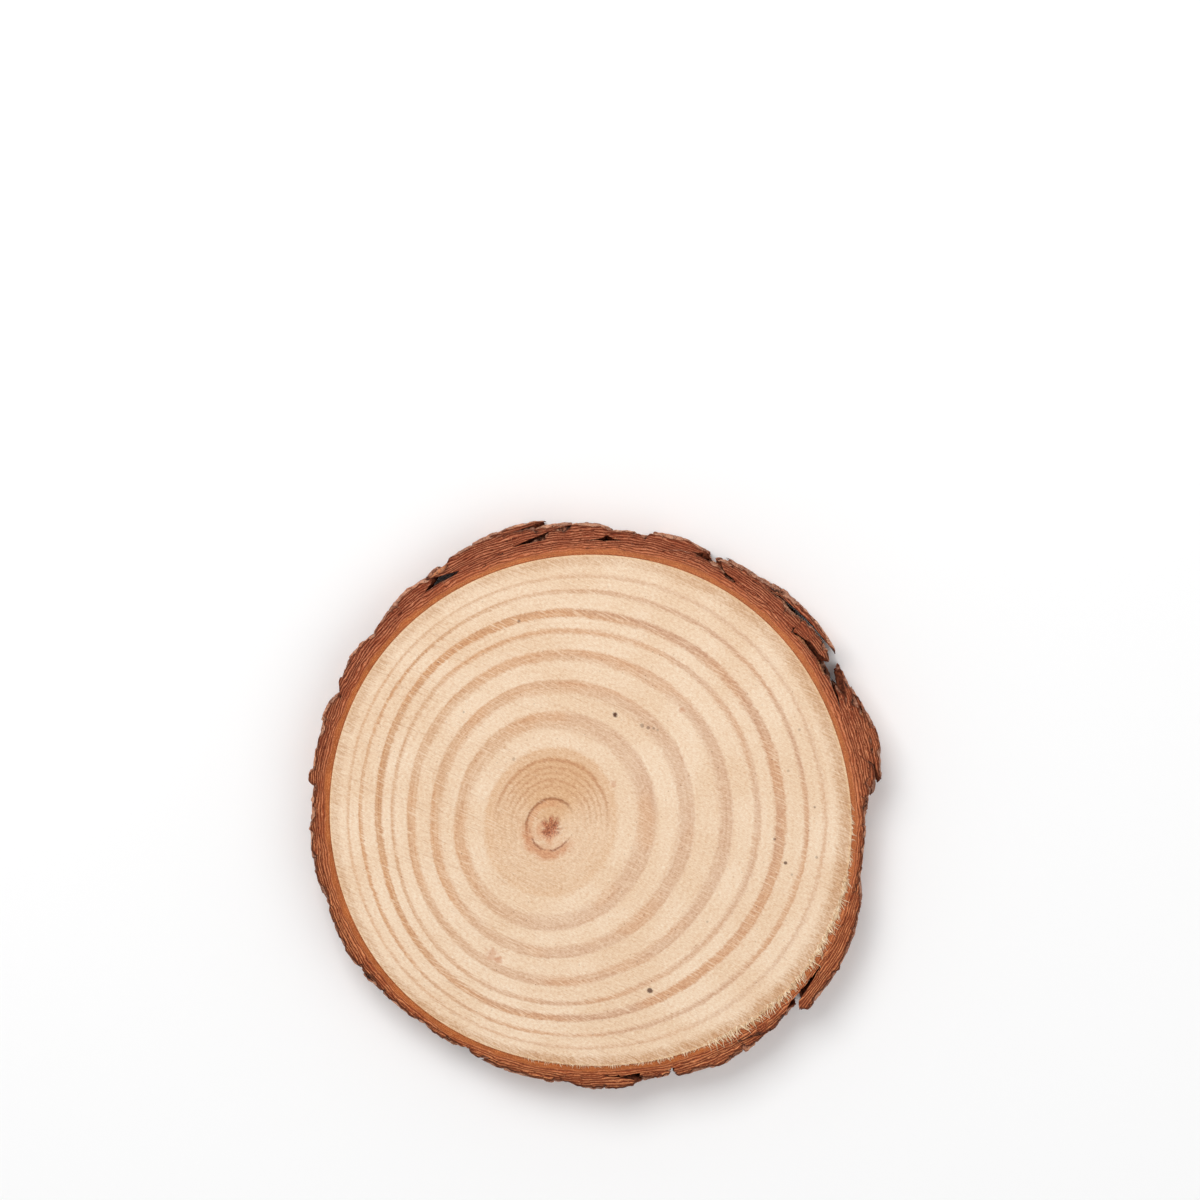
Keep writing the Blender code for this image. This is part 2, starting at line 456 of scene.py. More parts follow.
def bark_cut():
    """Bark as the saw left it: orange inner bark, then red-brown layers with pale edges."""
    cut = Finish("bark_cut", 0.15)
    bark_place = cut.attribute("bark_place")
    parts = cut.node("ShaderNodeSeparateXYZ", vector=bark_place)
    depth = cut.value(parts, 2)
    upper = cut.value(parts, 1).between(-25.0, 40.0)
    # painted light and shade: the sawn bark is painted lighter towards the upper right and darker towards
    # the lower left
    bright = cut.towards(bark_place, 45.0, -15.0, 25.0)
    broad = cut.noise((0.2, 0.2, 0.6), 2.0, 0.55, of=bark_place)
    fine = cut.noise((0.7, 0.7, 2.2), 2.0, 0.6, of=bark_place)
    crumbs = cut.noise(4.5, 3.0, 0.65)
    patches = cut.noise(0.33)

    # thin pale layers, each with a darker one behind it
    wavy = depth + (broad - 0.5) * 1.3 + (fine - 0.5) * 0.32
    layer = cut.maths("SINE", wavy * (math.tau / 0.44))
    thin = cut.maths("SINE", wavy * (math.tau / 0.21) + patches * 9.0)
    pale = layer.between(0.5, 1.0) * (fine * 1.7) + thin.between(0.5, 1.0) * 0.5
    pale = (pale * (patches.between(0.3, 0.6) * 0.6 + 0.5)).clamped()
    dark = layer.between(-0.2, -1.0) * 0.75
    # painted shade: near-black spots that stand for the shade in small hollows
    painted_pit_shade = cut.noise((0.9, 0.9, 3.2), 3.0, 0.7, of=bark_place).between(0.59, 0.68)

    cut.tint = cut.mixed(thin.between(-0.8, 0.8), (174, 92, 47), (201, 121, 70))
    cut.paint(patches.between(0.4, 0.65) * 0.55, (164, 87, 50))
    # painted light: lighter orange inner bark towards the upper right
    cut.paint(bright * 0.35, (208, 128, 84))
    cut.paint(crumbs.between(0.58, 0.68) * 0.5, (214, 144, 90))
    # painted shade: the inner bark is painted darker where it meets the wood
    cut.paint((depth + (crumbs - 0.5) * 0.4).between(0.3, 0.1) * 0.45, (150, 84, 52))
    inner = cut.tint

    cut.tint = cut.mixed(patches.between(0.38, 0.62), (150, 70, 38), (174, 90, 52))
    cut.paint(upper * depth.between(1.2, 2.4) * 0.75, (138, 61, 36))
    # painted light and shade: the outer bark is lighter nearer the wood towards the upper right, and its
    # outer layers darker, the more towards the lower left
    cut.paint((bright * 0.55 + 0.1) * depth.between(2.4, 1.2), (196, 108, 68))
    cut.paint(depth.between(1.4, 2.8) * (0.7 - bright * 0.4), (118, 49, 29))
    cut.paint(dark, (86, 35, 20))
    cut.paint(pale, cut.mixed(upper, (222, 144, 96), (212, 134, 98)))
    # painted shade in the small hollows
    cut.paint(painted_pit_shade * 0.75, (62, 25, 15))
    outwards = (depth + (broad - 0.5) * 1.4 + (crumbs - 0.5) * 0.5).between(0.65, 1.25)
    cut.tint = cut.mixed(outwards, inner, cut.tint)

    cut.shade(crumbs, ((0.3, 0.3), (0.5, 0.5), (0.72, 0.68)))
    cut.paint(cut.noise(2.6).between(0.66, 0.74) * 0.4, (220, 160, 112))
    # painted shade: the sawn bark is painted dark near its outer edge, most on the lower side
    painted_edge_shade = (cut.amount("edge") + (crumbs - 0.5) * 0.5).between(0.55, 0.15)
    cut.paint(painted_edge_shade * (upper * -0.4 + 0.8), (66, 34, 24))
    return cut.done(0.78 + crumbs * 0.18, pale * 0.8 - dark * 0.6 + crumbs * 0.6, 0.12, 0.8)


# Tints of the bark's scales by their tone
SCALE_TINTS = (
    (0.0, (148, 106, 90)), (0.22, (216, 154, 124)), (0.4, (178, 122, 96)), (0.6, (226, 164, 130)),
    (0.84, (196, 136, 106)), (0.87, (222, 144, 96)), (1.0, (206, 124, 80)),
)


def bark_skin():
    """The trunk's weathered outside: taupe scales, and tan where one has lately fallen off."""
    skin = Finish("bark_skin", 0.15)
    crevice = skin.amount("crevice")
    wide = skin.noise((0.22, 0.22, 0.14), 3.0, 0.6)
    grain = skin.noise((1.3, 1.3, 0.35), 4.0, 0.7)
    speckle = skin.noise(2.6, 4.0, 0.8)
    vein = skin.noise((0.55, 0.55, 0.16), 4.0, 0.65) - 0.5
    hairline = (vein * vein).between(0.0004, 0.0)
    tone = skin.amount("tone") + (grain - 0.5) * 0.06
    skin.tint = skin.ramp(tone, SCALE_TINTS)
    skin.paint(wide.between(0.52, 0.62) * 0.4, (146, 102, 86))
    skin.paint(wide.between(0.46, 0.34) * 0.5, (226, 150, 110))
    skin.paint(grain.between(0.46, 0.32) * 0.5, (116, 68, 50))
    skin.paint(speckle.between(0.54, 0.66) * 0.5, (240, 206, 180))
    skin.paint(speckle.between(0.46, 0.35) * 0.5, (96, 58, 42))
    skin.paint(hairline * grain.between(0.4, 0.55) * 0.7, (84, 44, 30))
    # red-brown towards the scales' rims, and painted shade: near-black deep in the crevices
    skin.paint(crevice.between(0.05, 0.5) * 0.6, (132, 70, 48))
    skin.paint(crevice.between(0.6, 1.0) * 0.9, (40, 22, 16))
    return skin.done(0.8 + speckle * 0.16, grain + speckle * 1.2 - hairline * 0.8, 0.3, 0.9)


def bark_break():
    """Torn ends and the undersides of flakes."""
    torn = Finish("bark_break", 0.15)
    fibres = torn.noise((2.2, 2.2, 0.5), 4.0, 0.65)
    torn.tint = torn.mixed(fibres.between(0.35, 0.65), (84, 40, 27), (150, 84, 56))
    torn.paint(torn.noise(0.5).between(0.45, 0.7) * 0.5, (60, 30, 22))
    return torn.done(0.82 + fibres * 0.14, fibres, 0.15, 0.8)


def frayed_fibre():
    """Cream fibres, browner towards some tips."""
    fibre = Finish("frayed_fibre")
    shade = fibre.noise(1.7)
    fibre.tint = fibre.mixed(shade.between(0.35, 0.65), (241, 216, 184), (216, 179, 138))
    return fibre.done(0.6 + shade * 0.2)


def pale_floor():
    """Pale floor that grows as bright as the backdrop, away from the lamps."""
    floor = Finish("pale_floor")
    floor.tint = floor.mixed(floor.noise(0.01), (247, 247, 247), (249, 249, 249))
    away = floor.value(floor.vector_maths("LENGTH", floor.place), 1)
    glow = floor.mixed(away.between(250.0, 1100.0), (0, 0, 0), (255, 255, 255))
    floor.feed(floor.shader.inputs["Emission Color"], glow)
    floor.shader.inputs["Emission Strength"].default_value = 0.5
    return floor.done(0.9)


# ---- meshes

MAP_MARGIN = 0.5  # between the rectangles of a map


def shelve(sizes, wide):
    """Corners for rectangles on shelves this wide, and the side of the square they fill."""
    corners = np.zeros((len(sizes), 2))
    x = y = tallest = 0.0
    for index in sorted(range(len(sizes)), key=lambda i: -sizes[i][1]):
        width, height = sizes[index]
        if x + width > wide:
            x = 0.0
            y += tallest
            tallest = 0.0
        corners[index] = x, y
        x += width
        tallest = max(tallest, height)
    return corners, max(wide, y + tallest)


def shelve_well(sizes):
    """The same for the smallest square found."""
    least = math.sqrt(sum(width * height for width, height in sizes))
    widest = max(width for width, _ in sizes)
    tries = [shelve(sizes, max(least * stretch, widest)) for stretch in np.linspace(1.0, 1.5, 26)]
    return min(tries, key=lambda found: found[1])


class Skin:
    """Collects the surfaces of closed blocks into one mesh, with its unrolled map."""

    def __init__(self):
        self.points = []
        self.quads = []
        self.finishes = []
        self.maps = []
        self.sizes = []
        self.layers = {"bark_place": [], "edge": [], "tone": [], "crevice": []}
        self.count = 0

    def add_points(self, points, **layers):
        first = self.count
        self.points.append(points)
        self.count += len(points)
        for name, values in layers.items():
            self.layers[name].append(values)
        return first

    def add_side(self, side, finish, width, height):
        """A grid of point numbers becomes quads, and one rectangle of the map."""
        rows, columns = side.shape[0] - 1, side.shape[1] - 1
        quads = np.stack((side[:-1, :-1], side[1:, :-1], side[1:, 1:], side[:-1, 1:]), -1)
        across, up = np.meshgrid(np.arange(rows), np.arange(columns), indexing="ij")
        corners = [((across + i) / rows * width, (up + j) / columns * height)
                   for i, j in ((0, 0), (1, 0), (1, 1), (0, 1))]
        flat = np.stack([np.stack(corner, -1) for corner in corners], 2)
        self.quads.append(quads.reshape(-1, 4))
        self.finishes.append(np.full(rows * columns, finish))
        self.maps.append(flat.reshape(-1, 4, 2) + MAP_MARGIN / 2.0)
        self.sizes.append((width + MAP_MARGIN, height + MAP_MARGIN))

    def to_piece(self, name, materials):
        """The bark piece, with edges kept where it turns sharply."""
        corners, side = shelve_well(self.sizes)
        unrolled = [(flat + corner) / side for flat, corner in zip(self.maps, corners)]
        mesh = new_mesh(name, np.concatenate(self.points), np.concatenate(self.quads).tolist())
        mesh.polygons.foreach_set("material_index", np.concatenate(self.finishes).astype(np.int32))
        unrolled = np.concatenate(unrolled).reshape(-1, 2)
        mesh.uv_layers.new(name="OFBake").data.foreach_set("uv", unrolled.astype(np.float32).ravel())
        for layer, values in self.layers.items():
            if values:
                add_layer(mesh, layer, np.concatenate(values))
        for material in materials:
            mesh.materials.append(material)
        mesh.shade_smooth()
        mesh.set_sharp_from_angle(angle=math.radians(32.0))
        return new_piece(name, mesh)


def new_mesh(name, points, faces, edges=()):
    """A mesh with its points given in millimetres."""
    mesh = bpy.data.meshes.new(name)
    mesh.from_pydata((np.asarray(points) * MM).tolist(), edges, faces)
    return mesh


def add_layer(mesh, name, values):
    kind, field = ("FLOAT", "value") if values.ndim == 1 else ("FLOAT_VECTOR", "vector")
    layer = mesh.attributes.new(name, kind, "POINT")
    layer.data.foreach_set(field, values.astype(np.float32).ravel())


def new_object(name, data):
    """An object at the origin, in the scene."""
    made = bpy.data.objects.new(name, data)
    bpy.context.scene.collection.objects.link(made)
    return made


def new_piece(name, mesh):
    piece = new_object(name, mesh)
    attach(piece, "root")
    return piece


# ---- the wood

RING_ROWS = 150       # rows of faces from pith to bark on the upper face
BACK_ROWS = 44        # and on the back
SPOKES = 480
PITH_HOLLOW = 0.28    # how deep the soft pith has sunk

# The rings are not round either. Each wave goes round so many times and crests in this
# direction, and it is this high, as a share of the wood's radius, at the growths listed.
RING_GROWTHS = (0, 0.27, 0.38, 0.5, 0.62, 0.72, 0.79, 0.87, 1)
RING_WAVES = (
    (2, 75, (0, 0.019, 0.02, 0.018, 0.016, 0.011, 0.008, 0.006, 0)),
    (3, 8, (0, 0, 0.003, 0.005, 0.009, 0.013, 0.013, 0.007, 0)),
)


def ring_point(growth, angle):
    """A point on a growth ring. Rings start round the pith and drift to the trunk's middle."""
    drift_x = np.clip((growth - 0.33) / 0.67, 0, 1) ** 1.1
    drift_y = growth ** 0.8
    out_of_round = wood_edge(angle) / WOOD_RADIUS - 1.0
    cos, sin = np.cos(np.radians(angle)), np.sin(np.radians(angle))
    wobble = bumps(np.stack((2.0 * cos, 2.0 * sin, growth * 5.0), -1), 3)
    # no wobble at the pith, which is a point, or at the edge, which the bark meets
    free = growth * (1 - growth ** 6)
    reach = growth.copy()
    for times, crest, heights in RING_WAVES:
        reach += np.interp(growth, RING_GROWTHS, heights) * np.cos(np.radians(times * (angle - crest)))
    radius = WOOD_RADIUS * reach * (1 + out_of_round * growth ** 2) + 0.4 * wobble * free
    x = PITH[0] * (1 - drift_x) + radius * cos
    y = PITH[1] * (1 - drift_y) + radius * sin
    return x + TRUNK_MIDDLE[0], y + TRUNK_MIDDLE[1]


def sawn_face(rows, height, facing):
    """Points over one sawn face, from the ring nearest the pith outwards, and their layers."""
    growth = np.linspace(0, 1, rows + 1)[1:] ** 0.9
    growth, angle = np.meshgrid(growth, np.arange(SPOKES) * 360 / SPOKES, indexing="ij")
    x, y = ring_point(growth, angle)
    flat = np.stack((x, y, np.zeros_like(x)), -1)
    wave = 0.025 * bumps(flat / 9.0, 5) + 0.012 * bumps(flat / 1.3, 6)
    from_pith = np.hypot(x - PITH[0] - TRUNK_MIDDLE[0], y - PITH[1] - TRUNK_MIDDLE[1])
    hollow = PITH_HOLLOW * np.exp(-(from_pith / 1.1) ** 2) * (1 + 0.8 * bumps(flat / 0.7, 7))
    late = sum(dark * ease_between(start, full, growth) * (growth < end)
               for start, full, _, end, dark in LATEWOOD)
    z = height + facing * (wave * (1 - growth ** 8) - hollow + 0.02 * late)
    turn = np.radians(angle)
    ray = np.stack((np.cos(turn), np.sin(turn), growth), -1)
    return np.stack((x, y, z), -1), growth, ray


def make_wood(material):
    """Both sawn faces and the edge between them, as one closed mesh."""
    top, top_growth, top_ray = sawn_face(RING_ROWS, THICKNESS, 1.0)
    back, back_growth, back_ray = sawn_face(BACK_ROWS, 0.0, -1.0)
    pith_x, pith_y = PITH + TRUNK_MIDDLE
    piths = ((pith_x, pith_y, THICKNESS - PITH_HOLLOW), (pith_x, pith_y, PITH_HOLLOW))
    points = np.concatenate((top.reshape(-1, 3), back.reshape(-1, 3), piths))
    growth = np.concatenate((top_growth.ravel(), back_growth.ravel(), [0.0, 0.0]))
    ray = np.concatenate((top_ray.reshape(-1, 3), back_ray.reshape(-1, 3), np.zeros((2, 3))))
    top_grid = np.arange(top[..., 0].size).reshape(RING_ROWS, SPOKES)
    back_grid = np.arange(back[..., 0].size).reshape(BACK_ROWS, SPOKES) + top_grid.size
    edge_grid = np.stack((top_grid[-1], back_grid[-1]))
    faces = []
    for grid, way in ((top_grid, 1), (back_grid, -1), (edge_grid, 1)):
        on = np.roll(grid, -1, axis=1)
        quads = np.stack((grid[:-1], grid[1:], on[1:], on[:-1]), -1).reshape(-1, 4)
        faces += quads[:, ::way].tolist()
    for grid, pith, way in ((top_grid, len(points) - 2, 1), (back_grid, len(points) - 1, -1)):
        fan = np.stack((np.full(SPOKES, pith), grid[0], np.roll(grid[0], -1)), -1)
        faces += fan[:, ::way].tolist()
    mesh = new_mesh("sawn_wood", points, faces)
    add_layer(mesh, "growth", growth)
    add_layer(mesh, "ray", ray)
    lay_out_wood(mesh)
    mesh.materials.append(material)
    mesh.shade_smooth()
    mesh.set_sharp_from_angle(angle=math.radians(40.0))
    return new_piece("sawn_wood", mesh)


# The map of the wood, which is one unit wide: each face's middle and half its width
UPPER_MAP = (0.334, 0.328)
LOWER_MAP = (0.748, 0.246)


def read(items, field, kind, size=1):
    """One field of all of a mesh's items, as an array."""
    values = np.empty(len(items) * size, kind)
    items.foreach_get(field, values)
    return values.reshape(-1, size) if size > 1 else values


def lay_out_wood(mesh):
    """The map: both faces as they lie, the upper one larger, and the edge along one side."""
    where = read(mesh.vertices, "co", np.float32, 3) / MM - np.array((*TRUNK_MIDDLE, 0.0))
    where = where[read(mesh.loops, "vertex_index", np.int32)]
    sizes = read(mesh.polygons, "loop_total", np.int32)
    up = np.repeat(read(mesh.polygons, "normal", np.float32, 3)[:, 2], sizes)[:, None]
    half = WOOD_RADIUS + 1.6
    upper = UPPER_MAP[0] + where[:, :2] / half * UPPER_MAP[1]
    lower = LOWER_MAP[0] + where[:, :2] * (-1.0, 1.0) / half * LOWER_MAP[1]
    turn = np.arctan2(where[:, 1], where[:, 0]) / math.tau + 0.5
    faces = np.repeat(np.arange(len(sizes)), sizes)
    first = np.zeros(len(sizes))
    np.maximum.at(first, faces, turn)
    turn = np.where(first[faces] - turn > 0.5, turn + 1.0, turn)
    edge = np.stack((0.67 + where[:, 2] / THICKNESS * 0.01, 0.02 + turn * 0.4), -1)
    flat = np.where(up > 0.5, upper, np.where(up < -0.5, lower, edge))
    mesh.uv_layers.new(name="OFBake").data.foreach_set("uv", flat.astype(np.float32).ravel())


# ---- the bark

CUT, SKIN, BREAK = 0, 1, 2  # the order of the bark's materials
UP_ROWS = 26                # rows of faces from one sawn face to the other, on a plate
ACROSS_ROWS = 8             # from a plate's inner side to its outer side
PLATE_STEP = 0.27           # length of a face along a plate
LEAST_STEPS = 12            # along the shortest plates
RING_STEPS = 1200           # faces round the clinging bark

# Depth of the bark that clings to the wood all round, by direction
CLINGING = (
    (-180, 2.3), (-165, 2.2), (-150, 2.1), (-138, 1.8), (-124, 1.3), (-113, 1.9), (-100, 2.1),
    (-88, 2.1), (-80, 1.9), (-74, 2), (-66, 2.3), (-56, 2), (-47, 2.4), (-42, 1.7), (-30, 1.6),
    (-18, 1.5), (-5, 1.7), (4, 2.1), (12, 2.1), (20, 2.2), (27, 2.5), (35, 2.7), (45, 2.5),
    (55, 2.4), (62, 2.5), (72, 2.4), (80, 2.7), (87, 2.4), (95, 2.9), (104, 3.2), (112, 3),
    (116, 2.8), (121, 2.2), (125, 2.5), (140, 2.9), (150, 2.3), (160, 2.2), (170, 2.4), (180, 2.3),
)

# Plates and flakes, clockwise from the upper left: where each starts and ends, the depth of its
# inner and outer side at even steps between, how far its two ends taper (as a share of it), and
# how much of the gap behind it goes right through the slice at each end, if not USUAL_GAPS
USUAL_GAPS = (0.2, 0.2)
PLATES = (
    (135.5, 123.8, (1.8, 2.2, 3), (3.9, 4.7, 4.2), (0.15, 0.25), (0.3, 0.3)),
    (125, 96, (4.3, 2.7, 2.4, 3.9, 4.9), (4.7, 5.6, 6.1, 6, 5.2), (0.04, 0.22), (1, 0.3)),
    (109.5, 100, (5.8, 5.9, 6.1), (6.3, 6.7, 6.7), (0.5, 0.7)),
    (101.5, 94.2, (4.9, 5.3), (5.5, 5.7), (0.3, 0.7)),
    (104.2, 86.4, (2.8, 2.4, 2.4, 3.4), (3.2, 4.4, 5.4, 4.9), (0.2, 0.12)),
    (86, 81, (2.9, 3.1), (3.8, 4.1), (0.3, 0.3)),
    (87, 65, (3.6, 2.4, 2.2, 2.8, 4.4), (4, 4.4, 4.8, 5, 4.9), (0.1, 0.2)),
    (76, 60.8, (1.8, 1.8, 2), (2.7, 3.3, 3), (0.3, 0.1)),
    (62.5, 42, (3.3, 2, 2, 2.2), (4.7, 4.6, 4.7, 4.5), (0.06, 0.05)),
    (61, 51, (4.7, 4.3, 4.5), (5.1, 5, 5), (0.3, 0.4)),
    (54.5, 33.5, (4.4, 5.2, 5.7, 5.9), (5.1, 6, 6.4, 6.2), (0.25, 0.15), (1, 1)),
    (43, 32.5, (2.2, 3.5, 3.7), (4.6, 5, 4.5), (0.05, 0.15), (0.4, 0.4)),
    (41, 26.5, (1.6, 1.6, 1.6), (3, 3.1, 2.7), (0.15, 0.2)),
    (29.3, 14, (5.3, 3.2, 2), (5.7, 5.4, 5.2), (0.5, 0.3), (0.3, 0.3)),
    (24.2, 10, (5.5, 4.5, 3.7), (6, 6.2, 5.7), (0.45, 0.2), (0.3, 0.3)),
    (27.5, 4.5, (2.8, 1.9, 1.6, 2.2), (3.4, 4.6, 4.9, 4.7), (0.25, 0.08)),
    (22.5, 6.5, (5.8, 5.7, 5.1), (6.1, 6.5, 5.9), (0.3, 0.2), (0.5, 0.5)),
    (12, 2.5, (1.7, 1.7), (4.3, 3.7), (0.2, 0.08)),
    (5, -17, (1, 1, 1), (3, 2.5, 2.3), (0.1, 0.25)),
    (-14, -42.4, (1, 1, 1.2, 2, 2.8), (2.7, 3.7, 4.4, 4.6, 4.8), (0.12, 0.03), (0.3, 1)),
    (-43.5, -57, (2.1, 1.6, 1.2), (2.8, 3, 3), (0.3, 0.2), (0.3, 0.3)),
    (-52.5, -72, (2.7, 1.4, 1.4), (3.3, 4.2, 3.6), (0.2, 0.04)),
    (-73.6, -79.6, (1.4, 1.4), (3.1, 3.2), (0.1, 0.1)),
    (-80, -96, (3.1, 1.6, 1.6), (3.5, 4.2, 3.4), (0.12, 0.2)),
    (-95, -113.5, (1.4, 1.4, 2.1), (3.3, 3.1, 2.9), (0.1, 0.12)),
    (-112, -128, (0.9, 0.9), (2.4, 2), (0.2, 0.1)),
    (-127, -143, (0.9, 1.2), (1.9, 2.9), (0.2, 0.1)),
    (-141, -162, (1.2, 1.2, 1.4), (2.9, 3.5, 3), (0.1, 0.1)),
    (-160, -178.3, (1.4, 1.4, 1.6), (3.2, 3.8, 3.5), (0.2, 0.04)),
    (-176.5, -187, (1.4, 1.4), (3, 2.9), (0.1, 0.2)),
    (174.6, 155.5, (1.5, 1.5, 1.5), (3.5, 4, 3.6), (0.05, 0.1)),
    (154.4, 140.8, (1.5, 1.5, 2), (3.2, 4.3, 3.4), (0.12, 0.12)),
    (141.5, 133.5, (1.8, 1.8), (3.3, 4), (0.12, 0.2)),
)


# How high a scale stands, by its tone. The highest tones are where one has fallen off.
SCALE_TONES = (0.0, 0.2, 0.45, 0.7, 0.84, 0.88, 1.0)
SCALE_LEVELS = (-0.2, 0.4, 0.0, 0.35, 0.1, -0.5, -0.6)


def weathered(angle, height, seed):
    """Relief of the bark's outside: scales at different levels, flutes, and cracks between.

    Returns it with how deep in a crevice each point lies and the tone of its scale, from 0 to 1.
    """
    on_trunk = around_trunk(angle, height)
    swayed = on_trunk + 1.2 * np.stack([bumps(on_trunk / 3.0, seed + 11 + i) for i in range(3)], -1)
    swayed += 0.16 * np.stack([bumps(on_trunk / 0.8, seed + 14 + i) for i in range(3)], -1)
    large, large_border = scales(swayed / (8.0, 8.0, 15.0), seed + 21)
    small, small_border = scales(swayed / (3.4, 3.4, 5.5), seed + 22)
    level = np.interp(large, SCALE_TONES, SCALE_LEVELS) + 0.5 * (small - 0.5)
    flutes = bumps(on_trunk / (1.1, 1.1, 12.0), seed + 23)
    fluted = ease_between(-0.1, 0.3, bumps(on_trunk / 9.0, seed + 28))
    roughness = bumps(on_trunk / 0.5, seed + 24)
    swell = bumps(on_trunk / 7.0, seed + 25)
    split = 1 - ease_between(0, 0.035, np.abs(bumps(on_trunk / (2.6, 2.6, 16.0), seed + 26)))
    broken = ease_between(0.05, 0.25, bumps(on_trunk / 4.0, seed + 27))
    border = 1 - ease_between(0.01, 0.04, large_border)
    rim = 1 - ease_between(0.015, 0.07, small_border)
    crevice = np.clip(np.maximum(border, 0.85 * split * broken), 0, 1)
    relief = level + (0.05 + 0.16 * fluted) * flutes + 0.07 * roughness + 0.2 * swell
    relief -= 0.42 * crevice + 0.08 * rim
    tone = np.clip(0.86 * large + 0.16 * (small - 0.3), 0, 1)
    return relief, np.clip(crevice + 0.4 * rim, 0, 1), tone


def cut_relief(angle, depth, seed):
    """How far a sawn bark face lies below the blade's plane: grooves along its layers."""
    turn = np.radians(angle)
    x, y = WOOD_RADIUS * np.cos(turn), WOOD_RADIUS * np.sin(turn)
    broad = bumps(np.stack((x * 0.16, y * 0.16, depth * 1.5 + seed), -1), 31)
    fine = bumps(np.stack((x * 0.5, y * 0.5, depth * 4.0 + seed), -1), 32)
    return 0.07 + 0.06 * broad + 0.05 * fine


def block_surface(shape, ring=False):
    """Where the points on a block's outside lie, and the six (or four) grids of their numbers.

    The block's lattice runs along, across and up, each from 0 to 1. A ring has no ends.
    """
    outside = np.zeros(shape, bool)
    outside[:, 0] = outside[:, -1] = True
    outside[:, :, 0] = outside[:, :, -1] = True
    if not ring:
        outside[0] = outside[-1] = True
    number = np.full(shape, -1)
    number[outside] = np.arange(outside.sum())
    sides = {
        "top": number[:, :, -1], "bottom": number[:, ::-1, 0],
        "outer": number[:, -1, ::-1], "inner": number[:, 0, :],
    }
    if ring:
        sides = {name: np.vstack((grid, grid[:1])) for name, grid in sides.items()}
    else:
        sides["end"] = number[-1, :, :]
        sides["start"] = number[0, :, ::-1]
    along_steps = shape[0] if ring else shape[0] - 1
    places = np.argwhere(outside) / (along_steps, shape[1] - 1, shape[2] - 1)
    return *places.T, sides


def cling_depth(angle):
    """Depth of the clinging bark in any direction."""
    return np.interp((angle + 180) % 360 - 180, *np.transpose(CLINGING))


def sawn_ends(height, h, groove):
    """Heights lowered from the blade's plane by a groove, at both sawn faces."""
    return height + np.where(h > 0.99, -groove, np.where(h < 0.01, groove, 0.0))


def add_plate(skin, plate, seed):
    """One bark plate, sawn off at both faces, with torn ends."""
    start, end, inner, outer, tapers, *gaps = plate
    gaps = gaps[0] if gaps else USUAL_GAPS
    arc = abs(end - start) / 360 * math.tau * (WOOD_RADIUS + 4.0)
    steps = max(int(arc / PLATE_STEP), LEAST_STEPS)
    t, d, h, sides = block_surface((steps + 1, ACROSS_ROWS + 1, UP_ROWS + 1))
    height = h * THICKNESS

    # ends that wander up the slice and are ragged across their thickness
    wander = around_trunk(np.full_like(t, start), height)
    torn = around_trunk(np.full_like(t, end), height)
    tooth = np.stack((d * 3.0, height / 1.6, np.full_like(t, seed + 0.5)), -1)
    start_angle = start - 1.3 * bumps(wander / 4.5, seed) - 0.9 * bumps(tooth, seed + 1)
    end_angle = end + 1.3 * bumps(torn / 4.5, seed + 2) + 0.9 * bumps(tooth, seed + 3)
    angle = start_angle + (end_angle - start_angle) * t

    # gaps are open at the sawn faces and close inside the slice, unless they go through
    through = along(t, gaps)
    open_share = through + (1 - through) * ease_between(0.35, 0.9, np.abs(2 * h - 1))
    cling = cling_depth(angle) - 0.5
    inside = along(t, inner)
    inside = np.minimum(inside, cling) + open_share * np.maximum(inside - cling, 0.0)
    on_trunk = around_trunk(angle, height)
    relief, crevice, tone = weathered(angle, height, seed % 3)
    outside = along(t, outer) + 0.15 + relief * 0.8
    chip = ease_between(0.86, 1.0, np.abs(2 * h - 1))
    outside -= chip * np.clip(0.22 + 0.5 * bumps(on_trunk / 1.7, seed + 4), 0.0, 0.6)
    outside = np.maximum(outside, inside + 0.25)

    # tapered ends close on a line nearer the plate's outer side
    taper = np.clip(np.minimum(t / tapers[0], (1 - t) / tapers[1]), 0, 1) ** 0.6
    middle = inside + (outside - inside) * 0.62
    share = 0.12 + 0.88 * taper
    inside = middle + (inside - middle) * share
    outside = middle + (outside - middle) * share
    depth = inside + (outside - inside) * d
    depth += 0.1 * (1 - d) * bumps(on_trunk / 1.2, seed + 5)

    drop = 0.03 + 0.12 * scramble(np.array([[seed, 1, 2]]), 8)[0]
    height = sawn_ends(height, h, cut_relief(angle, depth, seed * 1.7) + drop)

    first = skin.add_points(
        at_depth(angle, depth, height), bark_place=around_trunk(angle, depth + 1.3 * (seed % 7)),
        edge=outside - depth, tone=tone, crevice=crevice,
    )
    evenly = np.linspace(0, 1, 9)
    across = float(np.mean(along(evenly, outer) - along(evenly, inner)))
    finishes = {
        "top": (CUT, arc, across), "bottom": (CUT, arc, across), "outer": (SKIN, arc, THICKNESS),
        "inner": (BREAK, arc * 0.5, THICKNESS * 0.5), "end": (BREAK, across, THICKNESS),
        "start": (BREAK, across, THICKNESS),
    }
    for name, grid in sides.items():
        finish, width, tall = finishes[name]
        skin.add_side(grid + first, finish, width, tall)


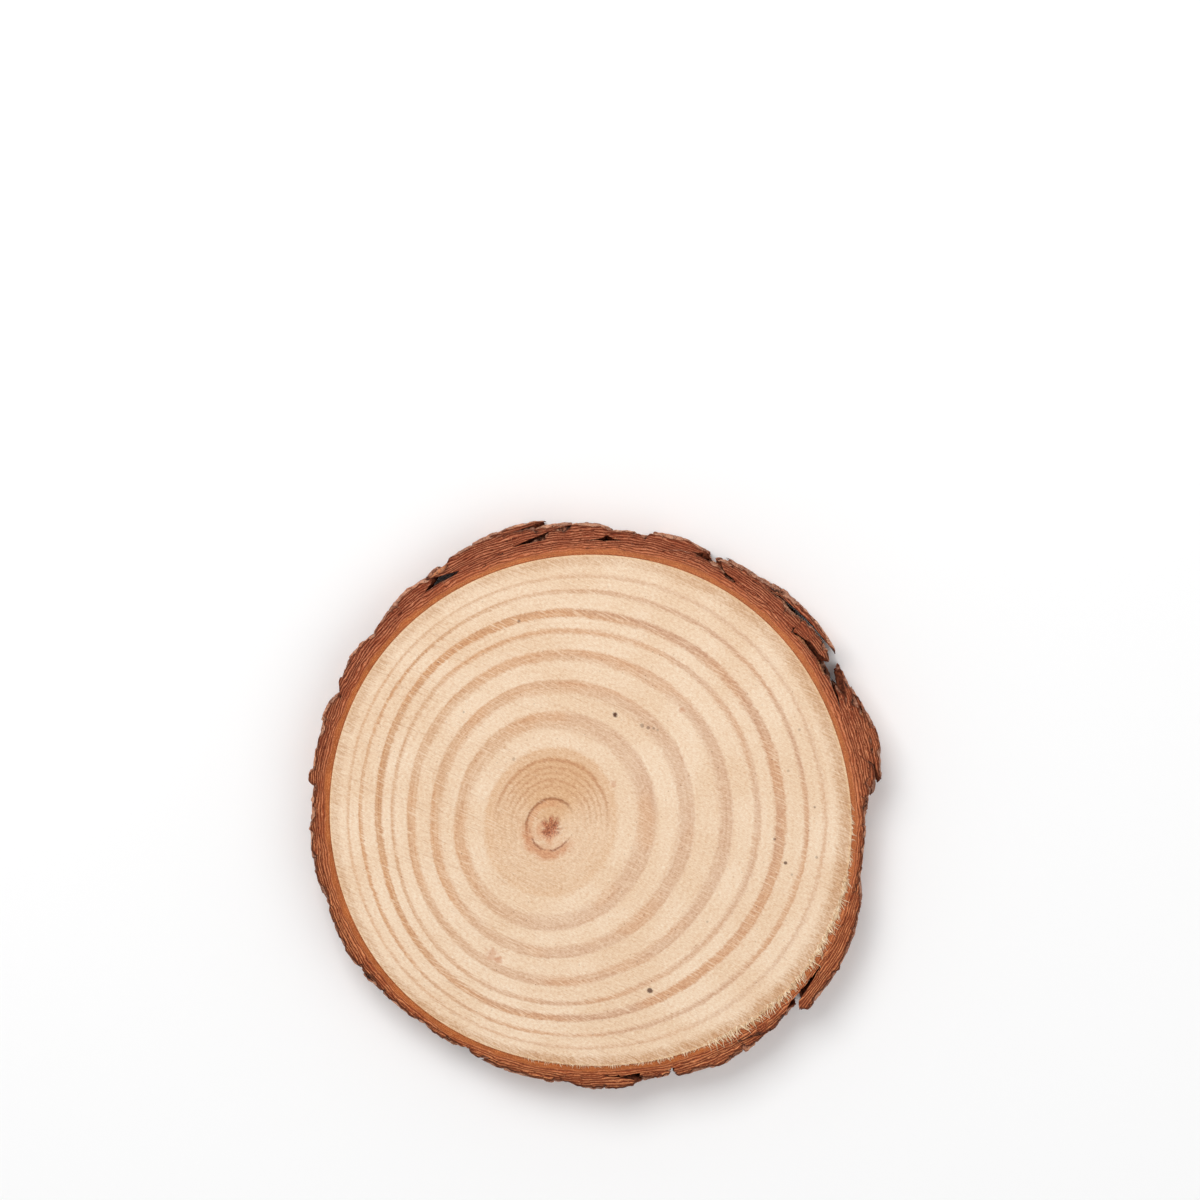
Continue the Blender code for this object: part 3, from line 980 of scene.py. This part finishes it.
def make_clinging_bark(materials):
    """The unbroken ring of bark on the wood: orange inner bark and the first brown layers."""
    t, d, h, sides = block_surface((RING_STEPS, 10, 23), ring=True)
    angle = t * 360 - 180
    height = h * THICKNESS
    relief, crevice, tone = weathered(angle, height, 2)
    sway = 3.0 * bumps(around_trunk(angle, height) / 5.0, 41)
    outside = np.maximum(cling_depth(angle + sway) + relief * 0.5, 1.0)
    inside = -0.2
    depth = inside + (outside - inside) * d
    height = sawn_ends(height, h, cut_relief(angle, depth, 0.0))

    skin = Skin()
    skin.add_points(
        at_depth(angle, depth, height), bark_place=around_trunk(angle, depth),
        edge=outside - depth + 1.0, tone=tone, crevice=crevice,
    )
    strips = 4
    length = math.tau * WOOD_RADIUS / strips
    sizes = {
        "top": (CUT, 2.6), "bottom": (CUT, 2.6), "outer": (SKIN, THICKNESS), "inner": (BREAK, 0.5),
    }
    for name, grid in sides.items():
        finish, tall = sizes[name]
        for part in range(strips):
            rows = slice(part * RING_STEPS // strips, (part + 1) * RING_STEPS // strips + 1)
            skin.add_side(grid[rows, ::-1], finish, length, tall)
    return skin.to_piece("clinging_bark", materials)


def make_plates(name, plates, materials, first_seed):
    skin = Skin()
    for index, plate in enumerate(plates):
        add_plate(skin, plate, first_seed + index)
    return skin.to_piece(name, materials)


# ---- frayed fibres

def fray_tree(material):
    """Fibres that the saw dragged out of a line: tapered, bent, and turned by chance."""
    tree = bpy.data.node_groups.new("frayed_edge", "GeometryNodeTree")
    for name, kind in (
        ("Geometry", "Geometry"), ("Fibres", "Int"), ("Length", "Float"), ("Thickness", "Float"),
        ("Direction", "Float"), ("Spread", "Float"), ("Rise", "Float"), ("Seed", "Int"),
    ):
        tree.interface.new_socket(name, in_out="INPUT", socket_type="NodeSocket" + kind)
    tree.interface.new_socket("Geometry", in_out="OUTPUT", socket_type="NodeSocketGeometry")
    graph = Graph(tree)
    inputs = graph.node("NodeGroupInput").outputs
    direction, spread, rise, seed = (
        Value(graph, inputs[name]) for name in ("Direction", "Spread", "Rise", "Seed")
    )
    line = graph.node("GeometryNodeMeshToCurve", mesh=inputs["Geometry"])
    stations = graph.node(
        "GeometryNodeCurveToPoints", {"mode": "COUNT"}, curve=line.outputs[0], count=inputs["Fibres"]
    )

    # one fibre: a thin cone that lies along +X from its root
    fibre = graph.node(
        "GeometryNodeMeshCone", {"fill_type": "TRIANGLE_FAN"}, vertices=5, side_segments=6,
        radius_top=0.00001, radius_bottom=inputs["Thickness"], depth=inputs["Length"],
    )
    laid = graph.node(
        "GeometryNodeTransform", geometry=fibre.outputs["Mesh"], rotation=(0.0, math.pi / 2, 0.0)
    )

    def chance(low, high, seed):
        return graph.node(
            "FunctionNodeRandomValue", {"data_type": "FLOAT"}, min_001=low, max_001=high, seed=seed
        ).outputs[1]

    yaw = chance(direction - spread, direction + spread, seed)
    pitch = chance(0.0 - rise, 0.05, seed + 1.0)
    turn = graph.node("ShaderNodeCombineXYZ", y=pitch, z=yaw)
    placed = graph.node(
        "GeometryNodeInstanceOnPoints", points=stations.outputs["Points"], instance=laid.outputs[0],
        rotation=turn.outputs[0], scale=chance(0.35, 1.25, seed + 2.0),
    )
    real = graph.node("GeometryNodeRealizeInstances", geometry=placed.outputs[0])
    sway = graph.node("ShaderNodeTexNoise", scale=700.0, detail=1.0)
    offset = graph.node(
        "ShaderNodeVectorMath", {"operation": "MULTIPLY_ADD"}, vector=sway.outputs["Color"],
        vector_001=(0.0014, 0.0014, 0.0003), vector_002=(-0.0007, -0.0007, -0.0001),
    )
    bent = graph.node("GeometryNodeSetPosition", geometry=real.outputs[0], offset=offset.outputs[0])
    smooth = graph.node("GeometryNodeSetShadeSmooth", geometry=bent.outputs[0])
    done = graph.node("GeometryNodeSetMaterial", geometry=smooth.outputs[0], material=material)
    graph.node("NodeGroupOutput", geometry=done.outputs[0])
    return tree


# Stretches of frayed wood on the rim: the directions between which it lies, how far inside the
# edge its roots are, how many fibres, their length, thickness, direction and spread
FRAYS = (
    (-14, -64, 0.55, 150, 2.0, 0.15, -64, 24), (-18, -60, 0.2, 130, 1.5, 0.12, -58, 30),
    (2, -24, 0.15, 120, 1.0, 0.09, -55, 30), (-58, -105, 0.15, 200, 0.8, 0.08, -85, 35),
)


def make_fray(name, tree, fray, seed):
    """Frayed wood along one stretch of the rim, as a plain mesh."""
    start, end, inset, fibres, length, thickness, direction, spread = fray
    angle = np.linspace(start, end, 90)
    line = at_depth(angle, np.full_like(angle, -inset), np.full_like(angle, THICKNESS - 0.02))
    steps = [(i, i + 1) for i in range(len(line) - 1)]
    guide = new_object(name + "_line", new_mesh(name + "_line", line, (), steps))
    modifier = guide.modifiers.new("fray", "NODES")
    modifier.node_group = tree
    settings = {
        "Fibres": fibres, "Length": length * MM, "Thickness": thickness * MM,
        "Direction": math.radians(direction), "Spread": math.radians(spread), "Rise": 0.3, "Seed": seed,
    }
    for item in tree.interface.items_tree:
        if item.name in settings:
            modifier[item.identifier] = settings[item.name]
    evaluated = guide.evaluated_get(bpy.context.evaluated_depsgraph_get())
    made = bpy.data.meshes.new_from_object(evaluated)
    bpy.data.objects.remove(guide)
    made.name = name
    return new_piece(name, made)


# ---- stage, light and camera

def make_floor(material):
    drop = -0.12  # just below the roughest sawn face
    corners = [(x, y, drop) for x, y in ((-1500, -1500), (1500, -1500), (1500, 1500), (-1500, 1500))]
    mesh = new_mesh("floor", corners, [(0, 1, 2, 3)])
    mesh.materials.append(material)
    floor = new_object("floor", mesh)


def make_softbox(name, place, size, power):
    """A square lamp that faces the slice."""
    data = bpy.data.lights.new(name, "AREA")
    data.shape = "SQUARE"
    data.size = size
    data.energy = power
    lamp = new_object(name, data)
    lamp.location = place
    lamp.rotation_euler = (-Vector(place)).to_track_quat("-Z", "Y").to_euler()


def make_light():
    world = bpy.data.worlds.new("studio")
    world.use_nodes = True
    sky = Graph(world.node_tree)
    direction = sky.node("ShaderNodeTexCoord").outputs["Generated"]
    height = sky.value(sky.node("ShaderNodeSeparateXYZ", vector=direction), 2)
    backdrop = world.node_tree.nodes["Background"]
    backdrop.inputs["Color"].default_value = (1, 1, 1, 1)
    sky.feed(backdrop.inputs["Strength"], 0.96 - height.between(0.05, 0.5) * 0.5)
    bpy.context.scene.world = world
    make_softbox("key", (-0.25, 0.45, 0.75), 0.5, 4.6)
    make_softbox("fill", (0.5, -0.1, 0.8), 0.8, 1.9)


VIEW_WIDTH = 217.0 * MM   # width of the view at the upper face
CAMERA_DISTANCE = 0.75
TILT = 5.5                # degrees that the view leans over the slice's far rim
BELOW_MIDDLE = 36.4 * MM  # how far the slice lies below the middle of the view


def make_camera():
    data = bpy.data.cameras.new("camera")
    data.sensor_width = 36.0
    data.lens = data.sensor_width * (CAMERA_DISTANCE - THICKNESS * MM) / VIEW_WIDTH
    data.clip_start = 0.01
    camera = new_object("camera", data)
    tilt = math.radians(TILT)
    camera.location = (0.9 * MM, CAMERA_DISTANCE * math.sin(tilt), CAMERA_DISTANCE * math.cos(tilt))
    raised = math.atan(BELOW_MIDDLE / CAMERA_DISTANCE)
    camera.rotation_euler = (raised - tilt, 0.0, 0.0)
    bpy.context.scene.camera = camera


# ---- the whole

def main():
    bpy.context.scene.view_settings.view_transform = "Standard"
    make_camera()
    make_light()
    make_floor(pale_floor())
    wood = make_wood(sawn_pine())
    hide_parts("wood_slice")
    bark = (bark_cut(), bark_skin(), bark_break())
    make_clinging_bark(bark)
    half = 16
    make_plates("bark_plates_far", PLATES[:half], bark, 50)
    make_plates("bark_plates_near", PLATES[half:], bark, 90)
    tree = fray_tree(frayed_fibre())
    for index, fray in enumerate(FRAYS):
        make_fray("frayed_edge_%d" % (index + 1), tree, fray, index * 11 + 3)


main()
